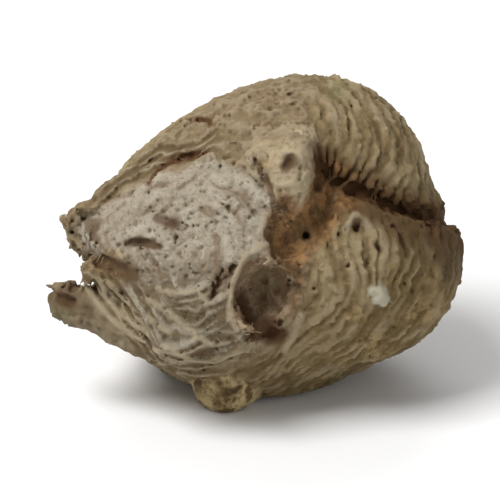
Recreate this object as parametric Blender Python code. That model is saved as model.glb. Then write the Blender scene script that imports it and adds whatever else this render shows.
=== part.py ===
"""Egg case of a Chinese mantis, come off its twig: one lump of foam that set hard.

The case is a fat barrel with two shoulders and, between them, the furrow that the young
hatch through. Its near end is broken open and shows a pale, nearly flat break, with
ledges of foam round it, a skin under it that ends in a torn tongue, and a pit where the
twig was.

Every place is given as an eye sees it that looks at the break from above at EYE_TILT:
right, up across that view, and near, towards the eye, all from the middle of the case.
"""

import math

import bmesh
import bpy
import numpy as np
from mathutils import Vector, noise

MM = 0.001


def mm(*values):
    """Millimetres as metres: one number, or an array of several."""
    return values[0] * MM if len(values) == 1 else np.array(values) * MM


# The eye that the places are given for, and how high the middle stands over the ground
EYE_TILT = math.radians(25.0)
MIDDLE_HEIGHT = mm(12.0)

# The barrel and its two shoulders: centre and half widths
BARREL = mm(0.6, -0.6, -1.6), mm(14.5, 12.4, 12.3)
UPPER_SHOULDER = mm(4.0, 5.5, 0.6), mm(10.7, 8.8, 9.6)
LOWER_SHOULDER = mm(7.6, -1.4, 1.2), mm(9.8, 8.3, 9.6)
SHOULDER_FILLET = mm(2.5)

# The broken end: a round end that runs out to the left, and the flat break raised on it
END_ROOT, END_ROOT_RADIUS = mm(-4.2, -0.2, 2.0), mm(9.6)
END_TIP, END_TIP_RADIUS = mm(-13.4, 0.9, 2.8), mm(2.2)
END_FILLET = mm(2.0)
END_BEHIND_BREAK = mm(1.2)
BREAK_MIDDLE = mm(-7.0, -0.6, 10.4)
BREAK_FACES = np.array((-0.37, 0.09, 0.92))
BREAK_BULGE_RADIUS = mm(34.0)
BREAK_ROOT, BREAK_ROOT_RADIUS = mm(-5.8, -0.9), mm(8.5)
BREAK_TIP, BREAK_TIP_RADIUS = mm(-13.2, 1.0), mm(1.3)
BREAK_EDGE_ROUND = mm(0.5)
BREAK_EDGE_SPREAD = 0.3
BREAK_DEEP = mm(2.6)
BREAK_RAGGED, BREAK_RAG_SIZE = mm(0.5), mm(2.2)

# Lumps of foam on it: centre and half widths, and the size of the fillet round them
LUMPS = (
    (mm(2.3, 5.7, 10.2), mm(2.7, 3.3, 2.6), mm(1.2)),
    (mm(3.3, 8.0, 9.0), mm(2.0, 1.8, 2.4), mm(1.2)),
    (mm(-2.5, -11.8, 1.5), mm(2.7, 2.6, 2.8), mm(1.0)),
)

# The skin under the break, out to its torn tongue: places and radii of the rods
TONGUE = (
    (mm(-4.5, -7.6, 5.2), mm(3.9)),
    (mm(-13.0, -5.5, 4.4), mm(2.2)),
    (mm(-15.5, -5.1, 4.2), mm(2.0)),
    (mm(-17.6, -3.9, 4.0), mm(1.0)),
)
TONGUE_FILLET = mm(1.0)

# The pit where the twig was, from its floor to its mouth
PIT_FLOOR, PIT_FLOOR_RADIUS = mm(0.9, -4.4, 10.4), mm(2.3)
PIT_MOUTH, PIT_MOUTH_RADIUS = mm(1.1, -4.2, 14.0), mm(4.4)

# The furrow that runs from the pit round between the shoulders
FURROW = (
    (mm(2.9, -0.4, 11.0), mm(1.3)),
    (mm(4.8, 2.2, 10.8), mm(1.7)),
    (mm(6.3, 5.1, 10.2), mm(2.1)),
    (mm(9.0, 4.5, 9.6), mm(1.8)),
    (mm(12.5, 3.7, 8.0), mm(1.6)),
    (mm(15.6, 3.3, 4.6), mm(1.4)),
    (mm(17.0, 2.9, 0.0), mm(1.1)),
    (mm(17.0, 2.6, -5.0), mm(0.8)),
)
CUT_FILLET = mm(0.8)

# Small hollows: two ends of a rod and its radius
HOLLOWS = (
    (mm(-13.2, -1.9, 7.5), mm(-11.3, -2.5, 8.5), mm(1.1)),
    (mm(-11.2, 0.3, 8.4), mm(-8.4, -0.3, 9.8), mm(0.75)),
    (mm(-9.8, 4.9, 8.1), mm(-7.8, 6.3, 8.7), mm(0.6)),
    (mm(-7.8, 6.3, 8.7), mm(-4.2, 6.6, 9.9), mm(0.6)),
    (mm(2.6, 7.3, 13.2), mm(2.7, 6.6, 13.2), mm(0.9)),
    (mm(-1.5, -12.8, 3.4), mm(-1.0, -11.9, 4.6), mm(0.8)),
)
HOLLOW_FILLET = mm(0.35)

# Ridges where the plates of foam end, one for each pair of rings; they are teeth at the
# furrow and wide ledges above the break
RIDGE_HEIGHT = mm(0.27)
RIDGES_START, RIDGES_END = math.radians(48), math.radians(150)
RIDGES_END_FADE = math.radians(20)
RIDGE_UNEVEN, RIDGE_UNEVEN_SIZE = 0.9, mm(3.5)
TOOTH_HEIGHT = mm(0.42)
TOOTH_REACH = mm(1.6)
LEDGE_HEIGHT = mm(0.3)
LEDGES_TOWARDS = np.array((-0.6, 0.8, 0.0))
LEDGES_START, LEDGES_END = math.radians(36), math.radians(80)
RIDGE_FADE = math.radians(6)

# Smooth bumps of the whole surface: size and height
SWELLS = ((mm(8.0), mm(0.45)), (mm(3.0), mm(0.24)))

# Nothing is raised this close to the ground, so that the case rests on a flat patch
FLAT_REACH = mm(0.9)

# The mesh: rings round the line out through the break, crowded on the side of the furrow
RINGS = 70
SPOKES = 70
POLE = np.array((-0.60, -0.04, 0.80))
CROWD_TOWARDS = np.array((1.0, 0.15, 0.5))
CROWDING = 0.5

# Edges longer than this, on the steep walls this near the pit, are evened out this often
LONG_EDGE = mm(1.9)
EVEN_REACH = mm(7.0)
EVENINGS = 3

# The search for the surface: where it starts and ends, its steps, and how often it halves
SEARCH_FROM, SEARCH_TO = mm(30.0), mm(2.0)
SEARCH_STEPS = 120
HALVINGS = 22


def ellipsoid(points, centre, half_widths):
    """Signed distance to an ellipsoid, nearly: negative inside."""
    scaled = (points - centre) / half_widths
    out = np.linalg.norm(scaled, axis=1)
    slope = np.linalg.norm(scaled / half_widths, axis=1)
    return out * (out - 1) / np.maximum(slope, 1e-6)


def taper(points, start, start_radius, end, end_radius):
    """Signed distance to a rod with round ends whose radius changes along it."""
    run = end - start
    share = np.clip((points - start) @ run / (run @ run), 0, 1)
    middle = start + share[:, None] * run
    radius = start_radius + share * (end_radius - start_radius)
    return np.linalg.norm(points - middle, axis=1) - radius


def chain(points, places):
    """Signed distance to rods that run through these places, each with its radius."""
    rods = [taper(points, *start, *end) for start, end in zip(places, places[1:])]
    return np.min(rods, axis=0)


def swell(points, size):
    """Smooth bumps of this size, from about -1 to 1."""
    return np.array([noise.noise(Vector(p)) for p in points / size])


def ramp(values, start, width):
    """0 before start, 1 after start plus width, smooth between."""
    share = np.clip((values - start) / width, 0, 1)
    return share * share * (3 - 2 * share)


def join(first, second, fillet):
    """Both shapes, with a fillet where they meet."""
    mix = np.clip(0.5 + 0.5 * (second - first) / fillet, 0, 1)
    return second * (1 - mix) + first * mix - fillet * mix * (1 - mix)


def cut(shape, cutter, fillet):
    """The shape less the cutter, with a rounded edge."""
    return -join(-shape, cutter, fillet)


def break_dome(points):
    """Signed distance to the slightly bulging surface of the break: negative behind it."""
    out = BREAK_FACES / np.linalg.norm(BREAK_FACES)
    centre = BREAK_MIDDLE - out * BREAK_BULGE_RADIUS
    return np.linalg.norm(points - centre, axis=1) - BREAK_BULGE_RADIUS


def break_plate(points):
    """The raised break: an outline like a drop, filled up to the dome."""
    dome = break_dome(points)
    wide = taper(points[:, :2], BREAK_ROOT, BREAK_ROOT_RADIUS, BREAK_TIP, BREAK_TIP_RADIUS)
    wide = wide + dome * BREAK_EDGE_SPREAD + swell(points, BREAK_RAG_SIZE) * BREAK_RAGGED
    thick = np.maximum(wide, -dome - BREAK_DEEP)
    return cut(thick, -dome, BREAK_EDGE_ROUND)


def broken_end(points):
    """The round end that carries the break, kept a little behind it."""
    end = taper(points, END_ROOT, END_ROOT_RADIUS, END_TIP, END_TIP_RADIUS)
    return np.maximum(end, break_dome(points) + END_BEHIND_BREAK)


def above_ground(points):
    """Height of points over the ground that the case rests on."""
    return MIDDLE_HEIGHT + points[:, 1] * math.cos(EYE_TILT) + points[:, 2] * math.sin(EYE_TILT)


def case_shape(points):
    """Signed distance to the whole case, before its ridges and roughness."""
    shape = ellipsoid(points, *BARREL)
    shape = join(shape, ellipsoid(points, *UPPER_SHOULDER), SHOULDER_FILLET)
    shape = join(shape, ellipsoid(points, *LOWER_SHOULDER), SHOULDER_FILLET)
    shape = join(shape, broken_end(points), END_FILLET)
    shape = join(shape, chain(points, TONGUE), TONGUE_FILLET)
    shape = join(shape, break_plate(points), TONGUE_FILLET)
    for centre, half_widths, fillet in LUMPS:
        shape = join(shape, ellipsoid(points, centre, half_widths), fillet)
    shape = cut(shape, chain(points, FURROW), CUT_FILLET)
    pit = taper(points, PIT_FLOOR, PIT_FLOOR_RADIUS, PIT_MOUTH, PIT_MOUTH_RADIUS)
    shape = cut(shape, pit, CUT_FILLET)
    for start, end, radius in HOLLOWS:
        shape = cut(shape, taper(points, start, radius, end, radius), HOLLOW_FILLET)
    return np.maximum(shape, -above_ground(points))


def pull_in(directions):
    """Points on the case along each direction from its middle, found from outside by halving."""
    outside = np.full(len(directions), SEARCH_FROM)
    inside = np.full(len(directions), SEARCH_TO)
    found = np.zeros(len(directions), bool)
    for far in np.linspace(SEARCH_FROM, SEARCH_TO, SEARCH_STEPS):
        within = case_shape(directions * far) < 0
        inside[within & ~found] = far
        outside[~within & ~found] = far
        found |= within
    for _ in range(HALVINGS):
        half = (inside + outside) / 2
        within = case_shape(directions * half[:, None]) < 0
        inside = np.where(within, half, inside)
        outside = np.where(within, outside, half)
    return directions * inside[:, None]


def points_of(mesh):
    return np.array([vertex.co for vertex in mesh.verts])


def move_to(mesh, points):
    for vertex, place in zip(mesh.verts, points):
        vertex.co = Vector(place)


def ring_directions(mesh):
    """Unit directions of a sphere's vertices with its poles on POLE, and their angles from it."""
    sphere = points_of(mesh)
    polar = np.arccos(np.clip(sphere[:, 2] / np.linalg.norm(sphere, axis=1), -1, 1))
    round_pole = np.arctan2(sphere[:, 1], sphere[:, 0])
    round_pole = round_pole - CROWDING * np.sin(round_pole)
    pole = POLE / np.linalg.norm(POLE)
    side = CROWD_TOWARDS - pole * (CROWD_TOWARDS @ pole)
    side = side / np.linalg.norm(side)
    across = np.cross(pole, side)
    flat = np.outer(np.cos(round_pole), side) + np.outer(np.sin(round_pole), across)
    return np.outer(np.cos(polar), pole) + np.sin(polar)[:, None] * flat, polar


def ridges(points, out, polar):
    """Heights of the ridges, up on every other ring and down on the rest."""
    up_or_down = np.where(np.rint(polar / math.pi * RINGS) % 2 == 0, 1.0, -1.0)
    last = 1 - ramp(polar, RIDGES_END, RIDGES_END_FADE)
    uneven = 1 + RIDGE_UNEVEN * swell(points, RIDGE_UNEVEN_SIZE)
    ridge = ramp(polar, RIDGES_START, RIDGE_FADE) * last * uneven * RIDGE_HEIGHT
    by_furrow = 1 - ramp(chain(points, FURROW), 0, TOOTH_REACH)
    tooth = ramp(polar, RIDGES_START, RIDGE_FADE) * last * by_furrow * TOOTH_HEIGHT
    above_break = ramp(out @ LEDGES_TOWARDS, 0.2, 0.4)
    before = ramp(polar, LEDGES_START, RIDGE_FADE) * (1 - ramp(polar, LEDGES_END, RIDGE_FADE))
    ledge = before * above_break * uneven * LEDGE_HEIGHT
    return up_or_down * np.max((ridge, tooth, ledge), axis=0)


def roughen(points, polar):
    """Raises the ridges and the bumps of the foam along the lines from the middle."""
    out = points / np.linalg.norm(points, axis=1)[:, None]
    height = ridges(points, out, polar)
    for size, high in SWELLS:
        height = height + swell(points, size) * high
    height = height * ramp(above_ground(points), 0, FLAT_REACH)
    return points + out * height[:, None]


def to_row(points):
    """Turns right, up and near into x, y and z, with the origin under the middle of the box."""
    right, up, near = points.T
    y = up * math.sin(EYE_TILT) - near * math.cos(EYE_TILT)
    placed = np.column_stack((right, y, above_ground(points)))
    low, high = placed.min(axis=0), placed.max(axis=0)
    return placed - ((low[0] + high[0]) / 2, (low[1] + high[1]) / 2, low[2])


def even_out(mesh):
    """Smooths the pit's steep walls, where neighbours from the search are far apart."""
    pit = Vector((PIT_FLOOR + PIT_MOUTH) / 2)
    steep = {end for edge in mesh.edges if edge.calc_length() > LONG_EDGE for end in edge.verts}
    steep = [vertex for vertex in mesh.verts if vertex in steep and (vertex.co - pit).length < EVEN_REACH]
    for _ in range(EVENINGS):
        bmesh.ops.smooth_vert(
            mesh, verts=steep, factor=0.5, use_axis_x=True, use_axis_y=True, use_axis_z=True
        )


def make_case():
    mesh = bmesh.new()
    bmesh.ops.create_uvsphere(mesh, u_segments=SPOKES, v_segments=RINGS, radius=1.0)
    directions, polar = ring_directions(mesh)
    move_to(mesh, roughen(pull_in(directions), polar))
    even_out(mesh)
    move_to(mesh, to_row(points_of(mesh)))
    mesh.normal_update()
    bmesh.ops.recalc_face_normals(mesh, faces=mesh.faces)
    data = bpy.data.meshes.new("egg_case")
    mesh.to_mesh(data)
    mesh.free()
    data.shade_smooth()
    return bpy.data.objects.new("egg_case", data)


def foam_material():
    material = bpy.data.materials.new("set_foam")
    material.use_nodes = True
    shader = material.node_tree.nodes["Principled BSDF"]
    shader.inputs["Base Color"].default_value = (0.33, 0.25, 0.155, 1.0)
    shader.inputs["Roughness"].default_value = 0.9
    return material


def main():
    for obj in list(bpy.data.objects):
        bpy.data.objects.remove(obj)
    collection = bpy.data.collections.new("mantis_egg_case")
    bpy.context.scene.collection.children.link(collection)
    case = make_case()
    case.data.materials.append(foam_material())
    collection.objects.link(case)


main()
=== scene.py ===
"""Looks of the mantis egg case: its set foam, pale break, lamellae, furrow, pit and paints.

The case is made again as one fine skin from the same lumps as its solid, with the small
forms of the foam added, and it stands in the place of that solid.

Sizes are in millimetres, but for the stage's. Places are as an eye sees them that looks at
the break from above at EYE_TILT: right, up across that view, and near, from the middle of
the case.
"""

import math

import bpy
import numpy as np
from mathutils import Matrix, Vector


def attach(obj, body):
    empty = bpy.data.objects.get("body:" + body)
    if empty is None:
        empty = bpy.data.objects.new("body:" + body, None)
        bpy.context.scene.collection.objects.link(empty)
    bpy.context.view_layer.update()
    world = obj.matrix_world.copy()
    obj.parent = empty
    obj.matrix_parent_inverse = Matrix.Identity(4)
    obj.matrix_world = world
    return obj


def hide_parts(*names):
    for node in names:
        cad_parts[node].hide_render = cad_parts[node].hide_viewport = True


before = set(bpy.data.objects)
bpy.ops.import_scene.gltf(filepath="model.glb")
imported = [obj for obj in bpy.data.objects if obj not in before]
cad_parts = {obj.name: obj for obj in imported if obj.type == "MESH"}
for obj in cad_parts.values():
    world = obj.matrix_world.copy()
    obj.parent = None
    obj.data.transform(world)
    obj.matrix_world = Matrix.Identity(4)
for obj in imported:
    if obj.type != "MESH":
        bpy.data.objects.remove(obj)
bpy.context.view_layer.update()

MM = 0.001


def at(*values):
    return np.array(values, np.float32)


# The eye that the places are given for, and the middle of the case over the floor
EYE_TILT = math.radians(25.0)
MIDDLE = at(0.21, 0.14, 12.0)

# The barrel and its two shoulders: centre and half widths
BARREL = at(0.6, -0.6, -1.6), at(14.5, 12.4, 12.3)
UPPER_SHOULDER = at(4.0, 5.5, 0.6), at(10.7, 8.8, 9.6)
LOWER_SHOULDER = at(7.6, -1.4, 1.2), at(9.8, 8.3, 9.6)
SHOULDER_FILLET = 2.5

# The broken end, and the flat break raised on it
END_ROOT, END_ROOT_RADIUS = at(-4.2, -0.2, 2.0), 9.6
END_TIP, END_TIP_RADIUS = at(-13.4, 0.9, 2.8), 2.2
END_FILLET = 2.0
END_BEHIND_BREAK = 1.2
BREAK_MIDDLE = at(-7.0, -0.6, 10.4)
BREAK_FACES = at(-0.37, 0.09, 0.92)
BREAK_BULGE_RADIUS = 34.0
BREAK_ROOT, BREAK_ROOT_RADIUS = at(-5.8, -0.9), 8.5
BREAK_TIP, BREAK_TIP_RADIUS = at(-13.2, 1.0), 1.3
BREAK_ARCH, BREAK_ARCH_RADIUS = at(-7.6, 2.2), 3.6
BREAK_EDGE_ROUND = 0.35
BREAK_EDGE_SPREAD = 0.3
BREAK_DEEP = 2.6

# Lumps of foam: centre, half widths and fillet
CREST_LUMPS = (
    (at(2.9, 5.6, 10.5), at(2.3, 3.1, 2.7), 0.5),
    (at(1.2, 6.6, 10.4), at(1.7, 1.8, 2.1), 0.6),
    (at(3.3, 8.0, 9.0), at(2.0, 1.8, 2.4), 1.2),
)
HEEL_LUMP = (at(-2.5, -11.8, 1.5), at(2.7, 2.6, 2.8), 0.8)
NOTCH_LUMPS = (
    (at(-13.6, -2.2, 6.0), at(1.2, 1.6, 1.3), 0.8),
    (at(-12.2, -3.2, 5.5), at(1.5, 1.4, 1.8), 0.8),
)

# The skin under the break, out to its torn tongue
TONGUE = (
    (at(-4.5, -7.6, 5.2), 3.9),
    (at(-13.0, -5.5, 4.4), 2.2),
    (at(-15.5, -5.1, 4.2), 2.0),
    (at(-17.0, -4.4, 4.0), 1.0),
)
TONGUE_FILLET = 0.8

# The ledge behind the upper left of the break
LEDGE = (
    (at(-10.3, 5.6, 5.0), 1.1),
    (at(-12.0, 4.4, 4.8), 1.1),
    (at(-13.6, 3.2, 4.4), 0.9),
    (at(-15.6, 2.0, 4.0), 0.6),
)
LEDGE_FILLET = 0.6

# The pit where the twig was, and the furrow between the shoulders
PIT_FLOOR, PIT_FLOOR_RADIUS = at(0.9, -4.4, 10.4), 2.5
PIT_MOUTH, PIT_MOUTH_RADIUS = at(1.0, -4.3, 14.0), 4.0
PIT_EDGE = 0.4
FURROW = (
    (at(2.9, -0.4, 11.0), 1.3),
    (at(4.8, 2.2, 10.8), 1.6),
    (at(6.3, 5.0, 10.4), 1.6),
    (at(9.0, 4.2, 9.8), 1.1),
    (at(12.5, 3.0, 8.2), 0.9),
    (at(15.6, 2.4, 4.8), 0.9),
    (at(17.0, 2.2, 0.0), 1.0),
    (at(17.0, 2.0, -5.0), 0.7),
)
FURROW_EDGE = 0.5

# Cuts that follow the skin. Each place: right, up, depth under the skin, radius
CRACKS = {
    "arched crack": (
        (-8.9, 5.2, 0.1, 0.14),
        (-8.4, 5.9, 0.3, 0.20),
        (-7.5, 6.7, 0.4, 0.22),
        (-6.6, 7.15, 0.4, 0.22),
        (-5.6, 7.4, 0.4, 0.20),
        (-4.7, 7.6, 0.3, 0.16),
        (-3.9, 7.7, 0.1, 0.12),
    ),
    "mouth of the crack": (
        (-8.4, 5.9, -0.05, 0.18),
        (-7.5, 6.7, -0.05, 0.24),
        (-6.6, 7.15, -0.05, 0.24),
        (-5.6, 7.4, -0.05, 0.24),
        (-4.7, 7.6, -0.05, 0.18),
    ),
    "crack over it": ((-5.7, 10.4, 0.0, 0.12), (-4.7, 10.5, 0.1, 0.2), (-3.7, 10.3, 0.0, 0.12)),
}
HOLES = {
    "long slit": ((-10.8, 0.1, 0.1, 0.22), (-9.6, 0.25, 0.3, 0.36), (-8.0, -0.2, 0.1, 0.18)),
    "hole by the slit": ((-6.6, 0.6, 0.1, 0.2), (-6.3, 0.5, 0.3, 0.22)),
    "soft dent": ((-8.2, 2.2, -0.1, 0.3), (-6.7, 1.7, -0.1, 0.26)),
    "side hollow": ((-13.0, -1.4, 0.0, 0.55), (-12.0, -1.9, -0.3, 0.75), (-10.4, -2.5, -0.3, 0.5)),
    "gap behind the rim": ((-1.6, -1.7, 0.2, 0.18), (-3.0, -2.9, 0.3, 0.3), (-3.6, -4.6, 0.2, 0.2)),
    "hole over the pit": ((1.7, -0.9, -0.3, 0.28), (1.7, -0.9, 1.0, 0.28)),
    "ringed hole": ((4.3, 0.7, -0.3, 0.30), (4.3, 0.7, 0.8, 0.28)),
    "looped hole": ((8.7, 1.8, -0.1, 0.36), (8.4, 1.1, 0.5, 0.36)),
    "small pore": ((10.1, 0.1, 0.0, 0.16), (10.4, -0.5, 0.1, 0.18)),
    "slanting slit": ((11.6, 1.5, 0.0, 0.2), (12.2, 0.4, 0.2, 0.25), (12.9, -0.9, 0.0, 0.15)),
    "crease beside the crest": (
        (0.0, 7.2, 0.0, 0.14),
        (0.6, 6.2, 0.0, 0.24),
        (1.2, 4.9, 0.0, 0.24),
        (1.6, 3.4, 0.0, 0.16),
    ),
    "dimple of the crest": ((2.6, 6.5, -0.2, 0.34), (3.1, 7.1, -0.2, 0.42)),
    "side of the crest": ((5.3, 8.2, 0.0, 0.2), (5.4, 6.6, 0.1, 0.36), (5.2, 4.8, 0.1, 0.36)),
    "heel cleft": ((-2.7, -12.7, 0.0, 0.16), (-2.0, -12.4, 0.2, 0.32), (-1.4, -12.1, 0.1, 0.22)),
    "line over the heel": ((-5.7, -11.3, 0.0, 0.12), (-4.4, -11.3, 0.1, 0.2), (-3.0, -11.7, 0.0, 0.14)),
    "cavity of the tongue": ((-16.5, -4.5, 0.2, 0.4), (-15.6, -4.9, 0.3, 0.45)),
    "last hole of the furrow": ((14.6, 2.7, 0.2, 0.4), (14.9, 2.3, 1.0, 0.35)),
}
CUT_ROUGH, CUT_EDGE = 0.14, 0.15

# The dark groove along the furrow, the deep lower rim of the pit, and its side up to the furrow
GROOVE = (
    (5.2, 7.0, 0.1, 0.35),
    (6.4, 5.9, 0.2, 0.45),
    (7.9, 4.9, 0.3, 0.50),
    (9.4, 4.2, 0.4, 0.50),
    (10.7, 3.6, 0.4, 0.45),
    (12.2, 2.9, 0.4, 0.40),
    (13.8, 2.2, 0.3, 0.36),
    (15.2, 1.8, 0.2, 0.32),
)
GROOVE_ROUGH, GROOVE_EDGE = 0.35, 0.2
PIT_RIM = ((-1.3, -5.0, 0.1, 0.5), (-0.9, -6.4, 0.2, 0.6), (0.2, -7.2, 0.2, 0.6), (1.6, -7.4, 0.1, 0.5))
PIT_RIM_ROUGH, PIT_RIM_EDGE = 0.2, 0.5
PIT_SIDE = (
    (2.6, 3.4, -0.1, 0.6),
    (2.2, 1.9, 0.2, 1.0),
    (1.9, 0.5, 0.4, 1.0),
    (2.6, -0.9, 0.4, 0.9),
    (2.9, -2.2, 0.3, 1.2),
    (2.5, -3.8, 0.2, 1.5),
    (1.8, -5.4, 0.2, 1.4),
)
PIT_SIDE_ROUGH, PIT_SIDE_FINE, PIT_SIDE_EDGE = 0.4, 0.2, 0.3

# The raised ring round a hole: right and up of its middle, its half widths and its thickness
RING_MIDDLE, RING_WIDTHS, RING_THICK = (4.3, 0.7), (0.62, 0.6), 0.18
RING_TURNS = [n * 0.785 for n in range(9)]

# Thin raised strands, as the cuts are given: on the skin before the pit is cut, and after
STRANDS_OVER_PIT = {
    "rim of the break": (
        (1.1, 0.1, 0.2, 0.16),
        (0.4, -0.3, 0.0, 0.22),
        (-0.7, -0.9, 0.1, 0.24),
        (-1.5, -2.4, 0.1, 0.20),
        (-1.9, -3.6, 0.1, 0.16),
        (-2.1, -5.7, 0.1, 0.20),
        (-1.5, -7.2, 0.0, 0.14),
        (-1.0, -8.3, 0.0, 0.18),
    ),
    "strand over the pit": ((3.6, 0.4, 0.3, 0.2), (2.1, -0.8, 0.3, 0.17), (0.8, -1.6, 0.3, 0.2)),
    "strand beside the pit": ((3.9, -6.0, 0.0, 0.24), (3.3, -7.4, 0.0, 0.22), (2.5, -9.0, 0.0, 0.16)),
    "flap under the break": ((-3.0, -9.5, 0.0, 0.34), (-1.8, -8.9, 0.0, 0.44), (-0.4, -8.4, 0.0, 0.34)),
}
STRANDS = {
    "ring": [
        (
            RING_MIDDLE[0] + RING_WIDTHS[0] * math.cos(turn),
            RING_MIDDLE[1] + RING_WIDTHS[1] * math.sin(turn),
            0.0,
            RING_THICK,
        )
        for turn in RING_TURNS
    ],
    "inner sheet": (
        (-13.4, -2.7, 0.0, 0.16),
        (-12.4, -4.6, -0.1, 0.20),
        (-11.2, -6.0, -0.1, 0.22),
        (-9.2, -7.4, -0.1, 0.22),
        (-7.3, -8.8, 0.0, 0.22),
        (-5.6, -9.5, 0.0, 0.22),
        (-3.4, -9.9, 0.0, 0.20),
        (-2.2, -9.2, 0.0, 0.16),
    ),
    "outer sheet": (
        (-14.2, -3.6, 0.0, 0.14),
        (-12.3, -6.2, -0.1, 0.20),
        (-10.1, -7.8, -0.1, 0.20),
        (-8.0, -9.1, 0.0, 0.20),
        (-6.0, -9.9, 0.0, 0.16),
    ),
    "middle sheet": (
        (-12.4, -3.2, 0.0, 0.12),
        (-11.0, -4.7, -0.1, 0.18),
        (-8.8, -6.3, 0.0, 0.16),
        (-7.2, -7.4, 0.0, 0.12),
    ),
    "strings on the break": (
        (-8.2, -3.6, 0.0, 0.12),
        (-6.6, -4.2, 0.0, 0.16),
        (-4.9, -3.9, 0.0, 0.16),
        (-4.0, -4.8, 0.0, 0.12),
    ),
    "low strings": (
        (-9.0, -4.6, 0.0, 0.12),
        (-7.0, -5.9, 0.0, 0.16),
        (-5.0, -7.6, 0.0, 0.16),
        (-3.6, -8.4, 0.0, 0.12),
    ),
    "low loop of the furrow": ((5.6, 4.3, 0.1, 0.15), (6.1, 5.4, 0.0, 0.17), (7.2, 6.0, 0.1, 0.13)),
    "high loop of the furrow": ((6.6, 3.6, 0.1, 0.13), (7.2, 4.8, 0.0, 0.16), (8.3, 5.6, 0.1, 0.12)),
    "loop over a hole": ((7.6, 1.2, 0.0, 0.16), (8.4, 2.5, 0.0, 0.22), (9.6, 1.5, 0.0, 0.16)),
}
STRAND_ROUGH, STRAND_FILLET = 0.1, 0.2

# The lip over the arched crack, and the white flake that sits on the lower shoulder
CRACK_LIP = ((-9.4, 5.8, 0.0, 0.2), (-7.9, 7.2, 0.0, 0.22), (-5.8, 7.9, 0.0, 0.22), (-3.9, 8.2, 0.0, 0.18))
LIP_ROUGH = 0.15
FLAKE = (
    (10.0, -3.9, 0.05, 0.34),
    (10.5, -4.0, 0.0, 0.44),
    (10.8, -4.7, 0.05, 0.36),
    (10.3, -4.6, 0.05, 0.3),
)
FLAKE_ROUGH, FLAKE_FILLET = 0.2, 0.05

# Lamellae: rings round a line that turns from the lower shoulder to the upper one
LOW_POLE = at(-0.60, -0.04, 0.80)
HIGH_POLE = at(-0.93, 0.10, 0.36)
RING_RADIUS = 14.0
POLE_TURN, POLE_TURN_BEHIND, POLE_BEHIND = 0.6, 9, (-3.0, 6.0)
LAMELLA_PITCH, LAMELLA_HEIGHT = 0.86, 0.12
LAMELLA_CLIMB = 0.72
FINE_PITCH, FINE_HEIGHT = 0.45, 0.08
STREAK_WIDE, STREAK_LONG, STREAK_HEIGHT = 0.32, 2.4, 0.11
TOOTH_DEPTH, TOOTH_REACH = 0.6, 1.5

# Sheets of the torn wall round the left of the break, and arcs and streaks on the break itself
WALL_PITCH, WALL_HEIGHT, WALL_WIDE = 0.78, 0.17, 2.4
BREAK_ARC_PITCH, BREAK_ARC_HEIGHT = 0.80, 0.11
BREAK_STREAK_WIDE, BREAK_STREAK_LONG, BREAK_STREAK_HEIGHT = 0.42, 2.0, 0.14
BREAK_STREAK_ROUND, BREAK_CALM_MIDDLE = 7, 2

# Foam cells opened by the break, and rarer ones in the skin: spacing, least and most radius
BREAK_CELLS = (0.44, 0.05, 0.22)
BREAK_CELL_DEPTH = 0.2
SKIN_CELLS = (0.9, 0.05, 0.22)
CELL_BEND, CELL_EDGE, CELL_REACH = 0.1, 0.08, 0.6

# Noise, each kind by its size and height: what bends outlines and lines, how uneven the lamellae
# are, the swells, the finer grain, and the grain of the plain foam
BREAK_WANDER = ((2.2, 0.45), (0.8, 0.20))
PIT_WANDER = ((1.7, 0.35), (0.7, 0.18))
RING_WANDER = ((4.0, 0.70), (1.5, 0.28), (0.6, 0.10))
EDGE_WANDER = ((1.1, 0.12),)
FINE_WANDER = ((1.6, 1.2),)
ARC_WANDER = ((1.7, 0.6),)
SLIT_WANDER = ((1.0, 0.25),)
STAIN_AND_SHADE_WANDER = ((1.3, 0.8),)
UNEVEN, LEAST_UNEVEN = ((2.4, 0.6), (1.1, 0.6)), 0.1
SWELLS = ((8.0, 0.36), (3.0, 0.192))
GRAIN = ((1.4, 0.09), (0.7, 0.12), (0.36, 0.15))
FOAM_GRAIN = ((0.9, 0.16), (0.42, 0.18))

# Layers torn off the left edge: size and depth
RAGS = ((1.1, 0.55), (0.55, 0.35))

# Where each cover sets in and how wide it fades, by the way that it is measured
TIP_LEFT, TIP_UP = (11.5, 2.0), (-2.0, 1.0)
TIP_WIDER, TIP_DEEPER = 0.5, 0.8
BREAK_WITHIN, BREAK_LEVEL, BREAK_OFF_PIT = (-0.4, 0.5), (0.9, 0.5), (-0.1, 0.4)
LOW_BREAK_UP, LEFT_BREAK_LEFT, LEFT_BREAK_SHARE = (-5.0, 6.0), (8.5, 4.0), 0.05
LAMELLA_ALONG, LAMELLA_RIGHT, LAMELLA_BEHIND = (13.8, 2.0), (3.8, 2.2), (-3.0, 3.0)
LAMELLA_UP = 1.0, 3.0
WALL_LEFT, WALL_NEAR = (1.5, 2.5), (1.0, 2.0)
WALL_OFF_LEFT, WALL_OFF_UP = (12.4, 1.4), (-2.5, 1.0)
WALL_START, WALL_START_UP, WALL_LATER = -0.9, (1.0, 3.0), 1.1
WALL_INNER_FADE, WALL_OUTER_FADE = 0.6, 0.8
BAND_OVERLAP, BAND_LEFT, BAND_DOWN, BAND_NEAR = 0.4, (1.5, 2.0), (3.5, 1.5), (0.0, 2.0)
BAND_SMOOTH = 0.7
RAGS_LEFT, RAG_EDGE = (12.8, 1.6), (0.05, 0.12)
STAIN_AND_SHADE_BESIDE, STAIN_AND_SHADE_RIGHT, STAIN_AND_SHADE_BY_STREAK = (1.4, 1.8), (4.2, 1.5), 0.6
FACING_EYE = -1.0, 2.0

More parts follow.
